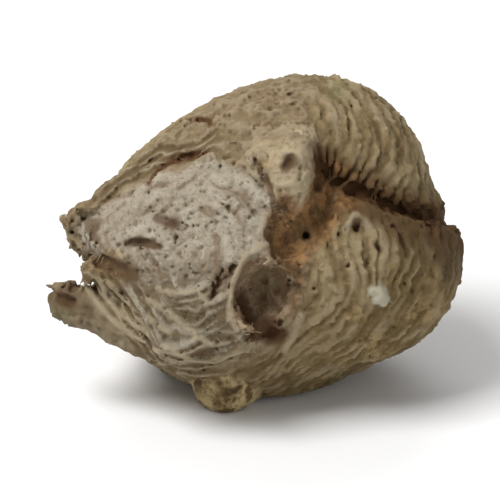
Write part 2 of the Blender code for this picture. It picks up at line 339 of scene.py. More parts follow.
# The furrow's teeth, and the gaps and edges that the paints follow
SLIT_WIDE, SLIT_EDGE, TOOTH_START = 0.42, (0.0, 0.2), 0.1
LAMELLA_GAP, SHEET_GAP, FURROW_GAP = (0.1, 0.5), (0.1, 0.3), (0.5, 2.6)
SHEET_EDGE = 0.1, 0.4
THIN_LINE, LINE_LEVEL = 0.3, 0.4
STRINGY_ABOVE = 0.35

# Loose fibres: how many, their size, how they spread and bend, and how deep their roots are
FIBRES, FIBRE_RADIUS, FIBRE_LENGTH = 130, 0.035, (0.4, 1.3)
FIBRE_JOINTS, FIBRE_SIDES = 7, 5
FIBRE_SPREAD, FIBRE_BEND, FIBRE_TAPER, FIBRE_ROOT = 0.7, 0.28, 0.7, 0.1

# Where they stand: by the edge of the break or on a strand, facing the eye, right of the tongue
TORN_EDGE, TORN_WIDE, TORN_DEEP, TORN_STRAND = 0.4, 0.9, 2.5, 0.05
TORN_NEAR, TORN_RIGHT = 3, -16

# Where each paint starts to fade, by the distance from its form, and how wide the fade is
FADES = {
    "in_furrow": (0.0, 0.9),
    "heel": (0.0, 0.6),
    "in_pit": (-0.1, 0.25),
    "pit_side": (-0.1, 0.8),
    "pit_rim": (0.3, 0.8),
    "crack": (0.12, 0.2),
    "by_hole": (0.0, 0.35),
    "strand": (0.0, 0.25),
    "flake": (0.1, 0.2),
    "crest": (0.0, 0.8),
}

# How the sides of the furrow are painted, how the lower right side is darkened as painted shade,
# how far the skin stands out for the painted highlight on tops and painted shade in hollows, and
# how strands fade out in the orange valley and by the groove, where they stay dark as painted shade
VALLEY_EDGE, CREST_SIDE = (0.0, 1.0), (6.0, 4.0)
LOWER_RIGHT_SPAN, LOWER_RIGHT_WANDER = (6.0, 14.0), ((3.0, 2.0),)
RAISED_SPAN = 0.9
DULL_IN_VALLEY, STRAND_SHADE_BY_GROOVE, GROOVE_NEAR, GROOVE_FADE = 0.8, 0.9, 0.8, (0.0, 0.5)

# Stains, and dark spots that are partly stain and partly painted shade in hollows: right, up and radius
SPOTS = {
    "ochre": (
        (0.7, 6.7, 0.6),
        (-12.2, -1.8, 1.9),
        (14.0, -5.8, 1.6),
        (15.2, -2.6, 1.2),
        (-3.5, -12.6, 1.4),
        (10.0, -8.6, 1.5),
        (8.5, -5.8, 1.0),
    ),
    "stain_and_shade_spot": (
        (-16.3, -4.6, 1.8),
        (2.2, 3.0, 1.4),
        (-10.6, -2.4, 1.2),
        (16.6, -1.5, 2.2),
        (-6.8, 2.0, 1.0),
        (2.9, 6.9, 0.8),
    ),
    "green_spot": ((7.0, 13.0, 1.2), (-16.8, -5.8, 1.6)),
}

SPOT_WANDER, SPOT_EDGE = ((1.2, 0.35),), (0.4, 0.8)

# Nothing is raised this close to the floor
FLAT_REACH = 0.9

# The grid that the skin is drawn from, how deep and high its fine forms go, the reach of a
# coarse block, and the most triangles that are kept
GRID_LOW, GRID_HIGH = at(-20.0, -15.5, -16.0), at(20.0, 16.0, 15.5)
GRID_STEP = 0.15
COARSE_STEP = 4
BLOCK_REACH = GRID_STEP * COARSE_STEP * 1.8
DEEPEST, HIGHEST = 2.0, 0.7
MOST_TRIANGLES = 194_000

# The stage, in metres: the floor, and each lamp's place, size and power
FLOOR_HALF = 3.0
LAMPS = {
    "window": ((-0.25, -0.12, 0.45), 0.28, 3.1),
    "fill": ((0.45, -0.35, 0.22), 0.50, 0.55),
    "back": ((0.0, 0.45, 0.42), 0.40, 1.3),
}
LAMP_AIM = Vector((0, 0, 0.012))
SKY_STRENGTH = 0.32
CAMERA_LENS, CAMERA_DISTANCE = 660.0, 0.78
CAMERA_AIM = Vector((-0.0002, 0, 0.0122))


# Plain shapes as signed distances, negative inside


def ellipsoid(points, centre, half_widths):
    scaled = (points - centre) / half_widths
    out = np.sqrt((scaled * scaled).sum(axis=1))
    slope = np.sqrt(((scaled / half_widths) ** 2).sum(axis=1))
    return out * (out - 1) / np.maximum(slope, 1e-6)


def taper(points, start, start_radius, end, end_radius):
    run = end - start
    share = np.clip((points - start) @ run / (run @ run), 0, 1)
    away = points - start - share[:, None] * run
    return np.sqrt((away * away).sum(axis=1)) - (start_radius + share * (end_radius - start_radius))


def chain(points, places):
    rods = [taper(points, *start, *end) for start, end in zip(places, places[1:])]
    return np.min(rods, axis=0)


def near_chain(points, places, reach):
    """Distance to a chain, and the reach where the chain is further off than that."""
    spots = np.array([spot for spot, _ in places])
    margin = max(radius for _, radius in places) + reach
    close = ((points > spots.min(axis=0) - margin) & (points < spots.max(axis=0) + margin)).all(axis=1)
    away = np.full(len(points), reach, np.float32)
    away[close] = chain(points[close], places)
    return away


def ramp(values, start, width):
    """0 before start, 1 after start plus width, smooth between."""
    share = np.clip((values - start) / width, 0, 1)
    return share * share * (3 - 2 * share)


def join(first, second, fillet):
    mix = np.clip(0.5 + 0.5 * (second - first) / fillet, 0, 1)
    return second * (1 - mix) + first * mix - fillet * mix * (1 - mix)


def cut(shape, cutter, fillet):
    return -join(-shape, cutter, fillet)


# Noise: the same numbers at the same places on every run


def scatter(x, y, z, seed):
    """A number from 0 to 1 for each whole-numbered place."""
    mixed = x.astype(np.uint32) * np.uint32(374761393) + y.astype(np.uint32) * np.uint32(668265263)
    mixed = mixed + z.astype(np.uint32) * np.uint32(2246822519) + np.uint32(seed * 3266489917 % 2**32)
    mixed = (mixed ^ (mixed >> np.uint32(15))) * np.uint32(2654435761)
    mixed = (mixed ^ (mixed >> np.uint32(13))) * np.uint32(1274126177)
    mixed = mixed ^ (mixed >> np.uint32(16))
    return (mixed & np.uint32(0xFFFFFF)).astype(np.float32) / np.float32(0xFFFFFF)


def grain(points, size, seed):
    """Smooth noise from -1 to 1 with bumps of this size."""
    scaled = points / size
    low = np.floor(scaled)
    share = scaled - low
    share = share * share * (3 - 2 * share)
    x, y, z = low.astype(np.int64).T
    total = 0
    for dx in (0, 1):
        for dy in (0, 1):
            for dz in (0, 1):
                beside = np.abs(at(1 - dx, 1 - dy, 1 - dz) - share)
                weight = beside[:, 0] * beside[:, 1] * beside[:, 2]
                total = total + weight * scatter(x + dx, y + dy, z + dz, seed)
    return total * 2 - 1


def roughened(values, points, kinds, seed):
    """Adds noise of each size and height."""
    for n, (size, high) in enumerate(kinds):
        values = values + high * grain(points, size, seed + n)
    return values


def cells(points, kind, seed):
    """Signed distance to round cells, one in each cube of the kind's spacing."""
    spacing, least, most = kind
    low = np.floor(points / spacing).astype(np.int64)
    nearest = np.full(len(points), 9.0, np.float32)
    for dx in (-1, 0, 1):
        for dy in (-1, 0, 1):
            for dz in (-1, 0, 1):
                x, y, z = (low + (dx, dy, dz)).T
                spot = [(c + scatter(x, y, z, seed + n)) * spacing for n, c in enumerate((x, y, z))]
                away = points - np.stack(spot, axis=1)
                radius = least + (most - least) * scatter(x, y, z, seed + 3) ** 2
                nearest = np.minimum(nearest, np.sqrt((away * away).sum(axis=1)) - radius)
    return nearest.astype(np.float32)


def steps(along):
    """Lamellae side by side: each climbs slowly from 0 to 1 and drops off quickly."""
    share = along - np.floor(along)
    return np.where(share < LAMELLA_CLIMB, share / LAMELLA_CLIMB, (1 - share) / (1 - LAMELLA_CLIMB))


# The case as one shape


def break_dome(points):
    out = BREAK_FACES / np.linalg.norm(BREAK_FACES)
    away = points - (BREAK_MIDDLE - out * BREAK_BULGE_RADIUS)
    return np.sqrt((away * away).sum(axis=1)) - BREAK_BULGE_RADIUS


def inside_break(points):
    """Distance outside the drop-shaped outline of the break, negative within it."""
    flat = points[:, :2]
    wide = taper(flat, BREAK_ROOT, BREAK_ROOT_RADIUS, BREAK_TIP, BREAK_TIP_RADIUS)
    wide = np.minimum(wide, taper(flat, BREAK_ARCH, BREAK_ARCH_RADIUS, BREAK_TIP, BREAK_TIP_RADIUS))
    return roughened(wide, points, BREAK_WANDER, 11)


def break_plate(points):
    dome = break_dome(points)
    wide = inside_break(points) + dome * BREAK_EDGE_SPREAD
    thick = np.maximum(wide, -dome - BREAK_DEEP)
    return cut(thick, -dome, BREAK_EDGE_ROUND)


def broken_end(points):
    end = taper(points, END_ROOT, END_ROOT_RADIUS, END_TIP, END_TIP_RADIUS)
    return np.maximum(end, break_dome(points) + END_BEHIND_BREAK)


def above_floor(points):
    return MIDDLE[2] + points[:, 1] * math.cos(EYE_TILT) + points[:, 2] * math.sin(EYE_TILT)


def pit(points):
    bowl = taper(points, PIT_FLOOR, PIT_FLOOR_RADIUS, PIT_MOUTH, PIT_MOUTH_RADIUS)
    return roughened(bowl, points, PIT_WANDER, 13)


def whole_form(points):
    """The case before the furrow and the pit are cut."""
    shape = ellipsoid(points, *BARREL)
    shape = join(shape, ellipsoid(points, *UPPER_SHOULDER), SHOULDER_FILLET)
    shape = join(shape, ellipsoid(points, *LOWER_SHOULDER), SHOULDER_FILLET)
    shape = join(shape, broken_end(points), END_FILLET)
    shape = join(shape, chain(points, TONGUE), TONGUE_FILLET)
    shape = join(shape, chain(points, LEDGE), LEDGE_FILLET)
    shape = join(shape, break_plate(points), TONGUE_FILLET)
    for centre, half_widths, fillet in (*CREST_LUMPS, HEEL_LUMP, *NOTCH_LUMPS):
        shape = join(shape, ellipsoid(points, centre, half_widths), fillet)
    return shape


def main_form(points):
    """The case before its fine forms."""
    shape = cut(whole_form(points), chain(points, FURROW), FURROW_EDGE)
    return cut(shape, pit(points), PIT_EDGE)


def swells(points):
    return roughened(0, points, SWELLS, 51)


def seated(run, form):
    """Turns places given by their depth under the skin of a form into the rods of a chain."""
    rows = np.array(run, np.float32)
    nears = np.arange(18.0, -6.0, -0.05, dtype=np.float32)
    line = np.empty((len(rows), len(nears), 3), np.float32)
    line[..., :2] = rows[:, None, :2]
    line[..., 2] = nears
    line = line.reshape(-1, 3)
    inside = (form(line) - swells(line)).reshape(len(rows), -1) < 0
    skin = nears[inside.argmax(axis=1)]
    return [(at(*row[:2], near - row[2]), float(row[3])) for row, near in zip(rows, skin)]


SEATED_CRACKS = [seated(run, main_form) for run in CRACKS.values()]
SEATED_HOLES = [seated(run, main_form) for run in HOLES.values()]
SEATED_GROOVE = seated(GROOVE, main_form)
SEATED_RIM = seated(PIT_RIM, main_form)
SEATED_SIDE = seated(PIT_SIDE, whole_form)
SEATED_FLAKE = seated(FLAKE, main_form)
SEATED_LIP = seated(CRACK_LIP, main_form)
SEATED_STRANDS = [seated(run, whole_form) for run in STRANDS_OVER_PIT.values()]
SEATED_STRANDS += [seated(run, main_form) for run in STRANDS.values()]


def nearest_run(points, runs):
    return np.min([near_chain(points, run, 1.0) for run in runs], axis=0)


def break_face(points):
    """1 on the broken surface, 0 off it."""
    tip = ramp(-points[:, 0], *TIP_LEFT) * ramp(points[:, 1], *TIP_UP)
    front = ramp(TIP_WIDER * tip - inside_break(points), *BREAK_WITHIN)
    front = front * (1 - ramp(np.abs(break_dome(points)) - TIP_DEEPER * tip, *BREAK_LEVEL))
    return front * ramp(pit(points), *BREAK_OFF_PIT)


def over_furrow(points):
    """How far up from the line of the furrow."""
    rights, ups = [place[0] for place in GROOVE], [place[1] for place in GROOVE]
    return points[:, 1] - np.interp(points[:, 0], rights, ups).astype(np.float32)


def ring_frame(points):
    """Distance along the skin from the pole, and the place on the ring."""
    wide = POLE_TURN + POLE_TURN_BEHIND * ramp(-points[:, 2], *POLE_BEHIND)
    share = ramp(over_furrow(points) + wide / 2, 0, wide)[:, None].astype(np.float32)
    pole = LOW_POLE * (1 - share) + HIGH_POLE * share
    pole = pole / np.sqrt((pole * pole).sum(axis=1))[:, None]
    out = points / np.maximum(np.sqrt((points * points).sum(axis=1)), 1)[:, None]
    turn = (out * pole).sum(axis=1)
    side = (out - pole * turn[:, None]) * RING_RADIUS
    along = np.arccos(np.clip(turn, -1, 1)) * RING_RADIUS
    return roughened(along, points, RING_WANDER, 21), side


def thin_lines(along):
    """Thin raised lines side by side, from 0 between them to 1 on top."""
    share = along - np.floor(along)
    return np.clip(1 - np.abs(share - 0.5) / THIN_LINE, 0, 1)


def streaks(along, side):
    """Noise drawn out along the lamellae."""
    stretched = (along / STREAK_WIDE, side[:, 1] / STREAK_LONG, (side[:, 0] + side[:, 2]) / STREAK_LONG)
    return grain(np.stack(stretched, axis=1), 1.0, 34)


def break_streaks(points, edge):
    """Noise drawn out round the break."""
    around = points[:, :2] - BREAK_ROOT
    away = np.sqrt((around * around).sum(axis=1)) + BREAK_CALM_MIDDLE
    around = around / away[:, None] * BREAK_STREAK_ROUND / BREAK_STREAK_LONG
    return grain(np.stack((edge / BREAK_STREAK_WIDE, around[:, 0], around[:, 1]), axis=1), 1.0, 37)


def lamella_cover(points, along):
    """1 where the skin has lamellae, 0 on the foam above the break."""
    low = ramp(along, *LAMELLA_ALONG)
    high = np.maximum(ramp(points[:, 0], *LAMELLA_RIGHT), ramp(-points[:, 2], *LAMELLA_BEHIND))
    share = ramp(points[:, 1], *LAMELLA_UP)
    return low * (1 - share) + high * share


def wall_cover(points, edge):
    """1 on the torn wall round the left of the break."""
    left = ramp(-points[:, 0], *WALL_LEFT) * ramp(points[:, 2], *WALL_NEAR)
    left = left * (1 - ramp(-points[:, 0], *WALL_OFF_LEFT) * ramp(points[:, 1], *WALL_OFF_UP))
    start = WALL_LATER * ramp(points[:, 1], *WALL_START_UP) + WALL_START
    return left * ramp(edge, start, WALL_INNER_FADE) * (1 - ramp(edge, WALL_WIDE, WALL_OUTER_FADE))


def ragged_cover(points):
    """1 on the torn left edge."""
    return ramp(-points[:, 0], *RAGS_LEFT) * ramp(points[:, 2], *WALL_NEAR)


def band_cover(points, edge):
    """1 on the smooth outer wall under the break, out to the tongue."""
    outer = ramp(edge, WALL_WIDE - BAND_OVERLAP, WALL_OUTER_FADE) * ramp(-points[:, 0], *BAND_LEFT)
    return outer * ramp(-points[:, 1], *BAND_DOWN) * ramp(points[:, 2], *BAND_NEAR)


def stain_and_shade_cover(points, streak):
    """1 on the dark foam along both sides of the furrow: stain, with painted shade on its lower lip."""
    beside = roughened(np.abs(over_furrow(points) + 0.1), points, STAIN_AND_SHADE_WANDER, 27)
    stain_and_shade = 1 - ramp(beside - STAIN_AND_SHADE_BY_STREAK * streak, *STAIN_AND_SHADE_BESIDE)
    return stain_and_shade * ramp(points[:, 0], *STAIN_AND_SHADE_RIGHT) * ramp(points[:, 2], *FACING_EYE)


def relief(points, on_break):
    """Heights that the fine forms add to the skin, with the covers that the paints follow."""
    edge = roughened(inside_break(points), points, EDGE_WANDER, 33)
    along, side = ring_frame(points)
    wall = wall_cover(points, edge)
    lamella = lamella_cover(points, along) * (1 - on_break) * (1 - wall)
    foam = (1 - lamella) * (1 - on_break) * (1 - wall)
    band = band_cover(points, edge)
    uneven = np.maximum(roughened(1, points, UNEVEN, 31), LEAST_UNEVEN)
    ridge = steps(along / LAMELLA_PITCH) - 0.5
    fine = steps(roughened(along / FINE_PITCH, points, FINE_WANDER, 30)) - 0.5
    streak = streaks(along, side)
    height = lamella * uneven * (ridge * LAMELLA_HEIGHT + fine * FINE_HEIGHT + streak * STREAK_HEIGHT)
    sheet = thin_lines(edge / WALL_PITCH) - LINE_LEVEL
    height = height + wall * uneven * sheet * WALL_HEIGHT
    ragged = ragged_cover(points)
    for n, (size, deep) in enumerate(RAGS):
        height = height - ragged * deep * ramp(grain(points, size, 91 + n), *RAG_EDGE)
    arc = thin_lines(roughened(edge / BREAK_ARC_PITCH, points, ARC_WANDER, 38)) - LINE_LEVEL
    string = break_streaks(points, edge)
    left = LEFT_BREAK_SHARE * ramp(-points[:, 0], *LEFT_BREAK_LEFT)
    low = np.maximum(1 - ramp(points[:, 1], *LOW_BREAK_UP), left)
    stringy = on_break * (STRINGY_ABOVE + (1 - STRINGY_ABOVE) * low)
    height = height + stringy * (arc * uneven * BREAK_ARC_HEIGHT + string * BREAK_STREAK_HEIGHT)
    for n, (size, high) in enumerate(FOAM_GRAIN):
        height = height + foam * high * (0.5 - np.abs(grain(points, size, 35 + n))) * 2
    groove = near_chain(points, SEATED_GROOVE, 4.0)
    slit = ramp(roughened(SLIT_WIDE, points, SLIT_WANDER, 28) - steps(along / LAMELLA_PITCH), *SLIT_EDGE)
    height = height - (1 - ramp(groove, TOOTH_START, TOOTH_REACH)) * lamella * slit * TOOTH_DEPTH
    height = height * (1 - BAND_SMOOTH * band)
    # Gaps between lamellae and sheets, and the slits by the furrow: the paint darkens them as painted
    # shade
    gap = lamella * ramp(-ridge - 0.5 * fine - 0.6 * streak, *LAMELLA_GAP)
    gap = np.maximum(gap, wall * ramp(-sheet, *SHEET_GAP))
    gap = np.maximum(gap, (1 - ramp(groove, *FURROW_GAP)) * slit * lamella)
    covers = {
        "band": band,
        "sheet": wall * ramp(sheet, *SHEET_EDGE),
        "arc": on_break * ramp(arc * uneven, *SHEET_EDGE),
        "wall": wall,
        "lamella": lamella,
        "foam": foam,
        "streak": 0.5 + 0.5 * streak,
        "string": 0.5 + 0.5 * string,
        "gap": gap,
        # Low on the break: more strings there, and painted shade in the paint
        "low": low,
        # Along both sides of the furrow: dark stain, with painted shade on the lower lip
        "furrow_stain_and_shade": stain_and_shade_cover(points, streak),
    }
    return height, covers


def fine_form(points, smooth):
    """The case with its lamellae, ledges, cells, holes and strands."""
    on_break = break_face(points)
    height, _ = relief(points, on_break)
    height = height + swells(points)
    height = roughened(height, points, GRAIN, 41)
    height = height * ramp(above_floor(points), 0.0, FLAT_REACH)
    shape = smooth - height
    coarse, fine = grain(points, 1.0, 44), grain(points, 0.47, 46)
    shape = cut(shape, near_chain(points, SEATED_GROOVE, 2.0) + GROOVE_ROUGH * coarse, GROOVE_EDGE)
    shape = cut(shape, near_chain(points, SEATED_RIM, 2.0) + PIT_RIM_ROUGH * coarse, PIT_RIM_EDGE)
    side = near_chain(points, SEATED_SIDE, 2.0) + PIT_SIDE_ROUGH * coarse + PIT_SIDE_FINE * fine
    shape = cut(shape, side, PIT_SIDE_EDGE)
    for strand in SEATED_STRANDS:
        shape = join(shape, near_chain(points, strand, 1.0) + STRAND_ROUGH * fine, STRAND_FILLET)
    shape = join(shape, near_chain(points, SEATED_LIP, 1.0) + LIP_ROUGH * fine, STRAND_FILLET)
    for run in SEATED_CRACKS + SEATED_HOLES:
        shape = cut(shape, near_chain(points, run, 1.0) + CUT_ROUGH * fine, CUT_EDGE)
    shape = join(shape, near_chain(points, SEATED_FLAKE, 1.0) + FLAKE_ROUGH * fine, FLAKE_FILLET)
    close = np.abs(shape) < CELL_REACH
    broken = close & (on_break > 0.3)
    skin = close & ~broken
    opened = np.full(len(points), 9.0, np.float32)
    bent = points + CELL_BEND * grain(points, 0.5, 49)[:, None]
    opened[broken] = np.maximum(cells(bent[broken], BREAK_CELLS, 61), -shape[broken] - BREAK_CELL_DEPTH)
    opened[skin] = cells(bent[skin], SKIN_CELLS, 71)
    shape = cut(shape, opened, CELL_EDGE)
    return np.maximum(shape, -above_floor(points))


# The skin drawn from the shape


def grid_points(low, counts, step):
    axes = [low[n] + step * np.arange(counts[n], dtype=np.float32) for n in range(3)]
    return np.stack(np.meshgrid(*axes, indexing="ij"), axis=-1).reshape(-1, 3).astype(np.float32)


def spread(known, allowed):
    """Grows a region through the allowed grid points until it grows no more."""
    while True:
        grown = known.copy()
        grown[1:] |= known[:-1]
        grown[:-1] |= known[1:]
        grown[:, 1:] |= known[:, :-1]
        grown[:, :-1] |= known[:, 1:]
        grown[:, :, 1:] |= known[:, :, :-1]
        grown[:, :, :-1] |= known[:, :, 1:]
        grown &= allowed
        if (grown == known).all():
            return known
        known = grown


def sample_case():
    """The case's shape on the grid: coarse far from its skin, and at every point near it."""
    wide = GRID_STEP * COARSE_STEP
    counts = np.ceil((GRID_HIGH - GRID_LOW) / wide).astype(int)
    blocks = main_form(grid_points(GRID_LOW, counts + 1, wide)).reshape(counts + 1)[:-1, :-1, :-1]
    values = blocks
    for axis in range(3):
        values = np.repeat(values, COARSE_STEP, axis)
    close = np.argwhere((blocks > -DEEPEST - BLOCK_REACH) & (blocks < HIGHEST + BLOCK_REACH))
    inner = grid_points(at(0, 0, 0), (COARSE_STEP,) * 3, 1).astype(int)
    places = (close[:, None, :] * COARSE_STEP + inner[None]).reshape(-1, 3)
    points = GRID_LOW + places.astype(np.float32) * GRID_STEP
    shape = main_form(points)
    near = (shape > -DEEPEST) & (shape < HIGHEST)
    shape[near] = fine_form(points[near], shape[near])
    values[tuple(places.T)] = np.maximum(shape, -above_floor(points))
    return values


def without_bubbles(values):
    """Fills holes that don't reach the outside and drops crumbs that don't touch the case."""
    outside = np.zeros(values.shape, bool)
    outside[0] = outside[-1] = True
    outside = spread(outside, values >= 0)
    values = np.where((values >= 0) & ~outside, np.float32(-0.05), values)
    body = np.zeros(values.shape, bool)
    body[tuple(n // 2 for n in values.shape)] = True
    body = spread(body, values < 0)
    return np.where((values < 0) & ~body, np.float32(0.05), values)


def skin_of(values):
    """Places and four-sided faces of the skin between the inside and the outside."""
    inside = values < 0
    corners = [(x, y, z) for x in (0, 1) for y in (0, 1) for z in (0, 1)]
    sizes = np.array(values.shape) - 1
    count = np.zeros(sizes, np.int8)
    for x, y, z in corners:
        count += inside[x : x + sizes[0], y : y + sizes[1], z : z + sizes[2]]
    active = (count > 0) & (count < 8)
    number = np.full(sizes, -1, np.int64)
    number[active] = np.arange(active.sum())
    boxes = np.argwhere(active)
    total = np.zeros((len(boxes), 3), np.float32)
    hits = np.zeros(len(boxes), np.float32)
    for axis in range(3):
        for corner in corners:
            if corner[axis]:
                continue
            start = boxes + corner
            end = start.copy()
            end[:, axis] += 1
            first, second = values[tuple(start.T)], values[tuple(end.T)]
            crossed = (first < 0) != (second < 0)
            share = np.where(crossed, first / np.where(crossed, first - second, 1), 0)
            spot = np.tile(np.array(corner, np.float32), (len(boxes), 1))
            spot[:, axis] += share
            total += spot * crossed[:, None]
            hits += crossed
    places = GRID_LOW + (boxes + total / hits[:, None]) * GRID_STEP
    faces = []
    for axis in range(3):
        side, over = (axis + 1) % 3, (axis + 2) % 3
        first = np.moveaxis(inside, axis, 0)
        differs = np.argwhere((first[:-1, 1:-1, 1:-1] != first[1:, 1:-1, 1:-1]))
        others = [n for n in range(3) if n != axis]
        base = np.zeros((len(differs), 3), np.int64)
        base[:, axis] = differs[:, 0]
        base[:, others[0]] = differs[:, 1]
        base[:, others[1]] = differs[:, 2]
        rounds = []
        for a, b in ((0, 0), (1, 0), (1, 1), (0, 1)):
            box = base.copy()
            box[:, side] += a
            box[:, over] += b
            rounds.append(number[tuple(box.T)])
        ring = np.stack(rounds, axis=1)
        start = base.copy()
        start[:, others[0]] += 1
        start[:, others[1]] += 1
        low_in = inside[tuple(start.T)]
        ring[~low_in] = ring[~low_in][:, ::-1]
        faces.append(ring)
    return places, np.concatenate(faces)


def to_row(points):
    """Turns right, up and near into metres in the row frame."""
    right, up, near = points.T
    y = up * math.sin(EYE_TILT) - near * math.cos(EYE_TILT)
    z = up * math.cos(EYE_TILT) + near * math.sin(EYE_TILT)
    return (np.stack((right, y, z), axis=1) + MIDDLE) * MM


def from_row(places):
    """Turns metres in the row frame into right, up and near."""
    x, y, z = (places / MM - MIDDLE).T
    up = y * math.sin(EYE_TILT) + z * math.cos(EYE_TILT)
    near = z * math.sin(EYE_TILT) - y * math.cos(EYE_TILT)
    return np.stack((x, up, near), axis=1).astype(np.float32)


def vertex_places(mesh):
    places = np.empty(len(mesh.vertices) * 3, np.float32)
    mesh.vertices.foreach_get("co", places)
    return places.reshape(-1, 3)


def fewer_triangles(obj):
    """Merges the flattest triangles until the piece keeps to its limit."""
    triangles = sum(len(face.vertices) - 2 for face in obj.data.polygons)
    if triangles <= MOST_TRIANGLES:
        return
    modifier = obj.modifiers.new("fewer", "DECIMATE")
    modifier.ratio = MOST_TRIANGLES / triangles
    bpy.context.view_layer.update()
    shown = obj.evaluated_get(bpy.context.evaluated_depsgraph_get())
    mesh = bpy.data.meshes.new_from_object(shown)
    obj.modifiers.clear()
    obj.data = mesh


def add_mask(mesh, name, values):
    layer = mesh.attributes.new(name, "FLOAT", "POINT")
    layer.data.foreach_set("value", np.clip(values, 0, 1).astype(np.float32))


def spot_cover(points, spots):
    """1 inside the spots, each given by right, up and radius, on the side that faces the eye."""
    cover = np.zeros(len(points), np.float32)
    wander = roughened(1, points, SPOT_WANDER, 81)
    for right, up, radius in spots:
        away = np.sqrt((points[:, 0] - right) ** 2 + (points[:, 1] - up) ** 2)
        cover = np.maximum(cover, 1 - ramp(away / radius * wander, *SPOT_EDGE))
    return cover * ramp(points[:, 2], *FACING_EYE)


def add_masks(mesh):
    """Stores where each paint goes."""
    points = from_row(vertex_places(mesh))
    on_break = break_face(points)
    _, covers = relief(points, on_break)
    covers["on_break"] = on_break
    groove = near_chain(points, SEATED_GROOVE, 4.0)
    valley = 1 - ramp(chain(points, FURROW), *VALLEY_EDGE)
    by_crest = 1 - ramp(points[:, 0], *CREST_SIDE)
    covers["in_valley"] = valley * (1 - by_crest)
    covers["orange_valley"] = valley * by_crest
    # How far the skin stands out: for the painted highlight on tops and the painted shade in hollows
    covers["raised"] = 0.5 + (main_form(points) - swells(points)) / RAISED_SPAN
    # The skin is painted darker toward the lower right: painted shade
    covers["lower_right"] = ramp(roughened(points[:, 0] - points[:, 1], points, LOWER_RIGHT_WANDER, 82), *LOWER_RIGHT_SPAN)
    away = {
        "in_furrow": groove,
        "heel": ellipsoid(points, *HEEL_LUMP[:2]),
        "in_pit": pit(points),
        "pit_side": near_chain(points, SEATED_SIDE, 2.0),
        "pit_rim": near_chain(points, SEATED_RIM, 2.0),
        "crack": nearest_run(points, SEATED_CRACKS),
        "by_hole": nearest_run(points, SEATED_HOLES),
        "strand": nearest_run(points, SEATED_STRANDS),
        "flake": chain(points, SEATED_FLAKE),
        "crest": np.min([ellipsoid(points, *lump[:2]) for lump in CREST_LUMPS], axis=0),
    }
    for name, fade in FADES.items():
        covers[name] = 1 - ramp(away[name], *fade)
    dulled_and_shaded = 1 - DULL_IN_VALLEY * covers["orange_valley"]
    # By the groove the pale strand paint is taken off, so the strands stay dark there as painted shade
    dulled_and_shaded = dulled_and_shaded * (1 - STRAND_SHADE_BY_GROOVE * ramp(GROOVE_NEAR - groove, *GROOVE_FADE))
    covers["strand"] = covers["strand"] * dulled_and_shaded
    for name, spots in SPOTS.items():
        covers[name] = spot_cover(points, spots)
    for name, values in covers.items():
        add_mask(mesh, name, values)


def make_case():
    places, faces = skin_of(without_bubbles(sample_case()))
    mesh = bpy.data.meshes.new("egg_case_foam")
    mesh.from_pydata(to_row(places).tolist(), [], faces.tolist())
    case = bpy.data.objects.new("egg_case_foam", mesh)
    bpy.context.scene.collection.objects.link(case)
    fewer_triangles(case)
    case.data.shade_smooth()
    add_masks(case.data)
    return case


# The fibres that stand off the case


def torn_places(mesh):
    """Places along the torn edges, with the way the skin faces there."""
    points = from_row(vertex_places(mesh))
    facing = np.empty(len(mesh.vertices) * 3, np.float32)
    mesh.vertices.foreach_get("normal", facing)
    # A direction turns as a place does that is measured from the middle
    facing = from_row(facing.reshape(-1, 3) * MM + MIDDLE * MM)
    torn = np.abs(inside_break(points) - TORN_EDGE) < TORN_WIDE
    torn &= np.abs(break_dome(points)) < TORN_DEEP
    torn |= nearest_run(points, SEATED_STRANDS) < TORN_STRAND
    torn &= (points[:, 2] > TORN_NEAR) & (points[:, 0] > TORN_RIGHT)
    zeros = np.zeros(len(points), int)
    draw = scatter(np.arange(len(points)), zeros, zeros, 91)
    chosen = np.argsort(draw + ~torn)[:FIBRES]
    return points[chosen], facing[chosen]


def make_fibres(case):
    """Short bent fibres that stand off the torn edges, as one mesh."""
    rng = np.random.default_rng(7)
    start, facing = torn_places(case.data)
    way = facing + rng.normal(0, FIBRE_SPREAD, facing.shape)
    way /= np.linalg.norm(way, axis=1)[:, None]
    stride = rng.uniform(*FIBRE_LENGTH, len(start)) / FIBRE_JOINTS
    place = start - facing * FIBRE_ROOT
    turns = np.arange(FIBRE_SIDES)[None, :, None] * 2 * math.pi / FIBRE_SIDES
    rings = []
    for n in range(FIBRE_JOINTS + 1):
        side = np.cross(way, (0.3, 0.9, 0.2))
        side /= np.linalg.norm(side, axis=1)[:, None]
        other = np.cross(way, side)
        radius = FIBRE_RADIUS * (1 - FIBRE_TAPER * n / FIBRE_JOINTS)
        ring = np.cos(turns) * side[:, None] + np.sin(turns) * other[:, None]
        rings.append(place[:, None] + ring * radius)
        place = place + way * stride[:, None]
        way = way + rng.normal(0, FIBRE_BEND, way.shape)
        way /= np.linalg.norm(way, axis=1)[:, None]
    corners = np.stack(rings, axis=1).reshape(-1, 3).astype(np.float32)
    faces = []
    for fibre in range(len(start)):
        first = fibre * (FIBRE_JOINTS + 1) * FIBRE_SIDES
        last = first + FIBRE_JOINTS * FIBRE_SIDES
        faces.append([first + k for k in reversed(range(FIBRE_SIDES))])
        faces.append([last + k for k in range(FIBRE_SIDES)])
        for low in range(first, last, FIBRE_SIDES):
            for k in range(FIBRE_SIDES):
                after = (k + 1) % FIBRE_SIDES
                faces.append([low + k, low + after, low + FIBRE_SIDES + after, low + FIBRE_SIDES + k])
    mesh = bpy.data.meshes.new("torn_fibres")
    mesh.from_pydata(to_row(corners).tolist(), [], faces)
    fibres = bpy.data.objects.new("torn_fibres", mesh)
    bpy.context.scene.collection.objects.link(fibres)
    mesh.shade_smooth()
    return fibres


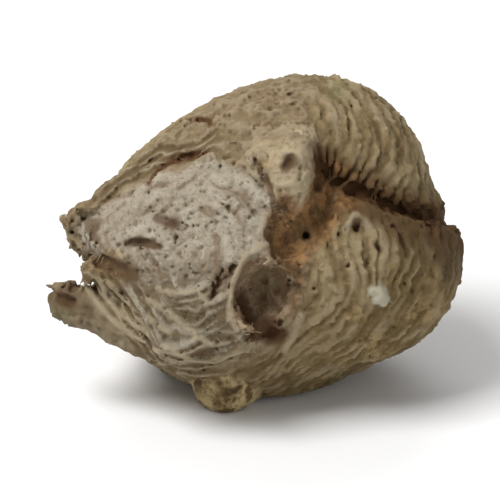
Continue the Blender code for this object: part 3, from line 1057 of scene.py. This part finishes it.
# Paints. Each weathered colour: the plain one, its dark blotches and its light specks
SKIN_COLOURS = (0.283, 0.213, 0.108), (0.14, 0.083, 0.030), (0.41, 0.335, 0.20)
FOAM_COLOURS = (0.230, 0.167, 0.092), (0.125, 0.070, 0.029), (0.33, 0.27, 0.165)
BREAK_COLOURS = (0.38, 0.33, 0.25), (0.25, 0.195, 0.13), (0.50, 0.455, 0.37)
# The break low down, painted darker as painted shade
SHADED_LOW_BREAK_COLOURS = (0.130, 0.095, 0.050), (0.055, 0.033, 0.014), (0.34, 0.295, 0.21)
CREST_COLOURS = (0.45, 0.365, 0.23), (0.24, 0.155, 0.075), (0.55, 0.48, 0.34)
FIBRE_COLOURS = (0.36, 0.29, 0.18), (0.17, 0.11, 0.055), (0.50, 0.44, 0.32)

# Weathering: the scale, detail and roughness of its noise, where it sets in, tone and strength
WEATHERING = {
    "blotch": ((320, 4, 0.65), (0.50, 0.72), "Dark", 0.45),
    "mottle": ((800, 5, 0.75), (0.50, 0.62), "Dark", 0.3),
    "pale speck": ((1300, 4, 0.7), (0.55, 0.70), "Light", 0.6),
    "dark speck": ((2400, 3, 0.7), (0.55, 0.68), "Dark", 0.6),
}

# Stains in two tones, the heel's with painted light and the pit side's with painted shade in it: the
# scale of their noise, where it turns, and the dark and the light tone
# The heel's light tone is made bright as painted light, as the heel sits low under the case
HEEL_STAIN_AND_LIGHT = 520, (0.42, 0.60), (0.14, 0.085, 0.030), (0.68, 0.53, 0.27)
OCHRE_STAIN = 900, (0.42, 0.58), (0.11, 0.062, 0.020), (0.38, 0.27, 0.12)
RUST_STAIN = 900, (0.42, 0.58), (0.175, 0.086, 0.030), (0.36, 0.185, 0.065)
# The pit's side: orange-brown stain, darkened as painted shade in that recess
PIT_SIDE_STAIN_AND_SHADE = 900, (0.42, 0.58), (0.100, 0.050, 0.019), (0.24, 0.132, 0.057)
PIT_STAIN = 700, (0.40, 0.62), (0.185, 0.112, 0.056), (0.36, 0.262, 0.165)

# Coats, one over the other: the cover that says where, the strength, and a colour or a stain
COATS = (
    # Painted shade in the gaps between lamellae and sheets and in the slits
    ("gap", 0.5, (0.10, 0.058, 0.020)),
    # The heel: olive and tan stain, with painted light
    ("heel", 0.85, HEEL_STAIN_AND_LIGHT),
    ("ochre", 0.55, OCHRE_STAIN),
    ("green_spot", 0.35, (0.20, 0.20, 0.085)),
    # Dark spots, most in hollows: stain and painted shade
    ("stain_and_shade_spot", 0.55, (0.085, 0.052, 0.025)),
    # Dark stain along both sides of the furrow, with painted shade on its lit lower lip
    ("furrow_stain_and_shade", 0.88, (0.098, 0.052, 0.018)),
    # Painted shade in the furrow's valley, over its dark brown
    ("in_valley", 0.5, (0.105, 0.058, 0.022)),
    ("orange_valley", 0.8, RUST_STAIN),
    # Painted shade in the groove of the furrow, over its dark brown
    ("in_furrow", 0.85, (0.072, 0.030, 0.008)),
    # Painted shade over the orange-brown stain on the pit's side
    ("pit_side", 0.92, PIT_SIDE_STAIN_AND_SHADE),
    ("in_pit", 1.0, PIT_STAIN),
    ("pit_rim", 0.9, (0.080, 0.034, 0.011)),
    ("strand", 0.7, (0.37, 0.305, 0.20)),
    # Painted shade in and around the holes, slits and dents, over their dark brown
    ("by_hole", 0.7, (0.095, 0.048, 0.020)),
    ("crack", 0.9, (0.105, 0.046, 0.016)),
    ("flake", 0.9, (0.48, 0.44, 0.33)),
)


def new_group(name, inputs, outputs):
    group = bpy.data.node_groups.new(name, "ShaderNodeTree")
    for label, kind, value in inputs:
        socket = group.interface.new_socket(label, in_out="INPUT", socket_type=kind)
        socket.default_value = value
    for label, kind in outputs:
        group.interface.new_socket(label, in_out="OUTPUT", socket_type=kind)
    return group, group.nodes.new("NodeGroupInput"), group.nodes.new("NodeGroupOutput")


def link(tree, start, end):
    tree.links.new(start, end)


def noise_node(tree, scale, detail, rough):
    texture = tree.nodes.new("ShaderNodeTexNoise")
    texture.inputs["Scale"].default_value = scale
    texture.inputs["Detail"].default_value = detail
    texture.inputs["Roughness"].default_value = rough
    place = tree.nodes.new("ShaderNodeTexCoord").outputs["Object"]
    link(tree, place, texture.inputs["Vector"])
    return texture.outputs["Fac"]


def span(tree, value, low, high):
    """Stretches low to high of a value over 0 to 1."""
    node = tree.nodes.new("ShaderNodeMapRange")
    node.clamp = True
    node.interpolation_type = "SMOOTHSTEP"
    node.inputs["From Min"].default_value = low
    node.inputs["From Max"].default_value = high
    link(tree, value, node.inputs["Value"])
    return node.outputs["Result"]


def times(tree, first, second):
    node = tree.nodes.new("ShaderNodeMath")
    node.operation = "MULTIPLY"
    link(tree, first, node.inputs[0])
    if isinstance(second, float):
        node.inputs[1].default_value = second
    else:
        link(tree, second, node.inputs[1])
    return node.outputs[0]


def mixed(tree, share, first, second):
    """Mixes two colours; each is a socket or a plain colour."""
    node = tree.nodes.new("ShaderNodeMix")
    node.data_type = "RGBA"
    link(tree, share, node.inputs["Factor"])
    for value, socket in ((first, node.inputs[6]), (second, node.inputs[7])):
        if isinstance(value, tuple):
            socket.default_value = (*value, 1.0)
        else:
            link(tree, value, socket)
    return node.outputs[2]


def mask_node(tree, name):
    node = tree.nodes.new("ShaderNodeAttribute")
    node.attribute_name = name
    return node.outputs["Fac"]


def weathering_group():
    """Blotches, specks and a fine grain, for every paint on the case."""
    inputs = (
        ("Colour", "NodeSocketColor", (0.3, 0.24, 0.15, 1.0)),
        ("Dark", "NodeSocketColor", (0.08, 0.05, 0.02, 1.0)),
        ("Light", "NodeSocketColor", (0.5, 0.45, 0.34, 1.0)),
    )
    outputs = (("Colour", "NodeSocketColor"), ("Grain", "NodeSocketFloat"))
    group, given, out = new_group("weathering", inputs, outputs)
    colour = given.outputs["Colour"]
    for noise, start, tone, strength in WEATHERING.values():
        share = times(group, span(group, noise_node(group, *noise), *start), strength)
        colour = mixed(group, share, colour, given.outputs[tone])
    link(group, colour, out.inputs["Colour"])
    link(group, noise_node(group, 4200, 6, 0.75), out.inputs["Grain"])
    return group


def weathered(tree, group, colours):
    """A weathered colour, and the grain that goes with it."""
    node = tree.nodes.new("ShaderNodeGroup")
    node.node_tree = group
    for name, colour in zip(("Colour", "Dark", "Light"), colours):
        node.inputs[name].default_value = (*colour, 1.0)
    return node.outputs["Colour"], node.outputs["Grain"]


def two_toned(tree, scale, start, dark, light):
    return mixed(tree, span(tree, noise_node(tree, scale, 4, 0.7), *start), dark, light)


def covered(tree, cover, strength, below, above):
    """Lays one colour over another where a stored cover says so."""
    return mixed(tree, times(tree, mask_node(tree, cover), strength), below, above)


def marked(tree, cover, value, start, strength, below, above):
    """Lays one colour over another where a value sets in, under a stored cover."""
    share = times(tree, span(tree, value, *start), mask_node(tree, cover))
    return mixed(tree, times(tree, share, strength), below, above)


def skin_colour(tree, group):
    """The skin in drifts, with painted shade and patches toward the lower right, and plain foam, torn wall
    and crest over it.
    """
    colour, height = weathered(tree, group, SKIN_COLOURS)
    drift = span(tree, noise_node(tree, 110, 3, 0.5), 0.44, 0.62)
    colour = mixed(tree, times(tree, drift, 0.5), colour, (0.165, 0.105, 0.038))
    # Painted shade: darker toward the lower right, with ochre and dark patches there
    colour = covered(tree, "lower_right", 0.72, colour, (0.165, 0.114, 0.038))
    patch = noise_node(tree, 420, 3, 0.6)
    colour = marked(tree, "lower_right", patch, (0.54, 0.62), 0.5, colour, (0.30, 0.20, 0.085))
    colour = marked(tree, "lower_right", patch, (0.46, 0.38), 0.5, colour, (0.080, 0.048, 0.018))
    foam, _ = weathered(tree, group, FOAM_COLOURS)
    colour = covered(tree, "foam", 0.9, colour, foam)
    colour = covered(tree, "wall", 0.8, colour, (0.150, 0.107, 0.054))
    colour = covered(tree, "band", 0.8, colour, (0.205, 0.16, 0.098))
    crest, _ = weathered(tree, group, CREST_COLOURS)
    return covered(tree, "crest", 0.9, colour, crest), height


def with_break(tree, group, colour):
    """Adds the pale break, painted darker low down as painted shade, with its strings, stains and specks.
    """
    broken, _ = weathered(tree, group, BREAK_COLOURS)
    shaded_low_break, _ = weathered(tree, group, SHADED_LOW_BREAK_COLOURS)
    # Painted shade: the break is painted darker low down, and a little at its far left
    broken = mixed(tree, mask_node(tree, "low"), broken, shaded_low_break)
    colour = covered(tree, "on_break", 1.0, colour, broken)
    string = mask_node(tree, "string")
    colour = marked(tree, "on_break", string, (0.55, 0.85), 0.55, colour, (0.48, 0.43, 0.34))
    colour = marked(tree, "on_break", string, (0.45, 0.15), 0.7, colour, (0.17, 0.11, 0.06))
    speck = noise_node(tree, 3400, 2, 0.6)
    return marked(tree, "on_break", speck, (0.58, 0.68), 0.65, colour, (0.15, 0.105, 0.065))


def with_relief(tree, colour):
    """Adds pale sheets and streaks, a painted highlight on raised tops and painted shade in hollows."""
    colour = covered(tree, "arc", 0.4, colour, (0.42, 0.37, 0.28))
    colour = covered(tree, "sheet", 0.75, colour, (0.36, 0.295, 0.20))
    streak = mask_node(tree, "streak")
    colour = marked(tree, "lamella", streak, (0.40, 0.75), 0.55, colour, (0.36, 0.285, 0.17))
    colour = marked(tree, "lamella", streak, (0.46, 0.20), 0.4, colour, (0.11, 0.070, 0.028))
    # Painted highlight where the skin stands out, painted shade where it sinks in
    raised = mask_node(tree, "raised")
    highlight_on_tops = times(tree, span(tree, raised, 0.55, 0.85), 0.4)
    colour = mixed(tree, highlight_on_tops, colour, (0.40, 0.33, 0.22))
    shade_in_hollows = times(tree, span(tree, raised, 0.44, 0.15), 0.65)
    return mixed(tree, shade_in_hollows, colour, (0.10, 0.058, 0.024))


def new_material(name):
    material = bpy.data.materials.new(name)
    material.use_nodes = True
    return material, material.node_tree


def surface(tree, colour, height, roughness, bump_strength, bump_distance):
    """Gives the material's shader its colour, and its roughness and bump from a height."""
    shader = tree.nodes["Principled BSDF"]
    link(tree, colour, shader.inputs["Base Color"])
    rough = tree.nodes.new("ShaderNodeMapRange")
    rough.inputs["To Min"].default_value, rough.inputs["To Max"].default_value = roughness
    link(tree, height, rough.inputs["Value"])
    link(tree, rough.outputs["Result"], shader.inputs["Roughness"])
    bump = tree.nodes.new("ShaderNodeBump")
    bump.inputs["Strength"].default_value = bump_strength
    bump.inputs["Distance"].default_value = bump_distance
    link(tree, height, bump.inputs["Height"])
    link(tree, bump.outputs["Normal"], shader.inputs["Normal"])
    return shader


def foam_paint(group):
    material, tree = new_material("set_foam_paint")
    colour, height = skin_colour(tree, group)
    colour = with_break(tree, group, colour)
    colour = with_relief(tree, colour)
    for cover, strength, tone in COATS:
        above = two_toned(tree, *tone) if len(tone) == 4 else tone
        colour = covered(tree, cover, strength, colour, above)
    shader = surface(tree, colour, height, (0.72, 0.98), 0.8, 0.25 * MM)
    shader.inputs["Specular IOR Level"].default_value = 0.25
    return material


def fibre_paint(group):
    material, tree = new_material("fibre_paint")
    colour, height = weathered(tree, group, FIBRE_COLOURS)
    surface(tree, colour, height, (0.6, 0.9), 0.3, 0.02 * MM)
    return material


def floor_paint():
    material, tree = new_material("floor_paint")
    shader = tree.nodes["Principled BSDF"]
    shader.inputs["Base Color"].default_value = (0.82, 0.82, 0.82, 1.0)
    shader.inputs["Roughness"].default_value = 0.8
    return material


# The stage: floor, light and camera


def make_floor():
    mesh = bpy.data.meshes.new("floor")
    corners = [(x * FLOOR_HALF, y * FLOOR_HALF, 0) for x, y in ((-1, -1), (1, -1), (1, 1), (-1, 1))]
    mesh.from_pydata(corners, [], [(0, 1, 2, 3)])
    floor = bpy.data.objects.new("floor", mesh)
    mesh.materials.append(floor_paint())
    bpy.context.scene.collection.objects.link(floor)


def make_lamp(name, place, size, power):
    data = bpy.data.lights.new(name, "AREA")
    data.size = size
    data.energy = power
    lamp = bpy.data.objects.new(name, data)
    lamp.location = place
    lamp.rotation_euler = (LAMP_AIM - Vector(place)).to_track_quat("-Z", "Y").to_euler()
    bpy.context.scene.collection.objects.link(lamp)


def make_light():
    for name, lamp in LAMPS.items():
        make_lamp(name, *lamp)
    world = bpy.data.worlds.new("studio")
    world.use_nodes = True
    sky = world.node_tree.nodes["Background"]
    sky.inputs["Color"].default_value = (1.0, 1.0, 1.0, 1.0)
    sky.inputs["Strength"].default_value = SKY_STRENGTH
    bpy.context.scene.world = world
    bpy.context.scene.view_settings.view_transform = "Standard"


def make_camera():
    data = bpy.data.cameras.new("camera")
    data.lens = CAMERA_LENS
    data.clip_start = 0.05
    camera = bpy.data.objects.new("camera", data)
    back = Vector((0, -math.cos(EYE_TILT), math.sin(EYE_TILT)))
    camera.location = CAMERA_AIM + back * CAMERA_DISTANCE
    camera.rotation_euler = (-back).to_track_quat("-Z", "Y").to_euler()
    bpy.context.scene.collection.objects.link(camera)
    bpy.context.scene.camera = camera


make_camera()
make_light()
make_floor()
case = make_case()
fibres = make_fibres(case)
weathering = weathering_group()
case.data.materials.append(foam_paint(weathering))
fibres.data.materials.append(fibre_paint(weathering))
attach(case, "root")
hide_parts("egg_case")
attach(fibres, "root")
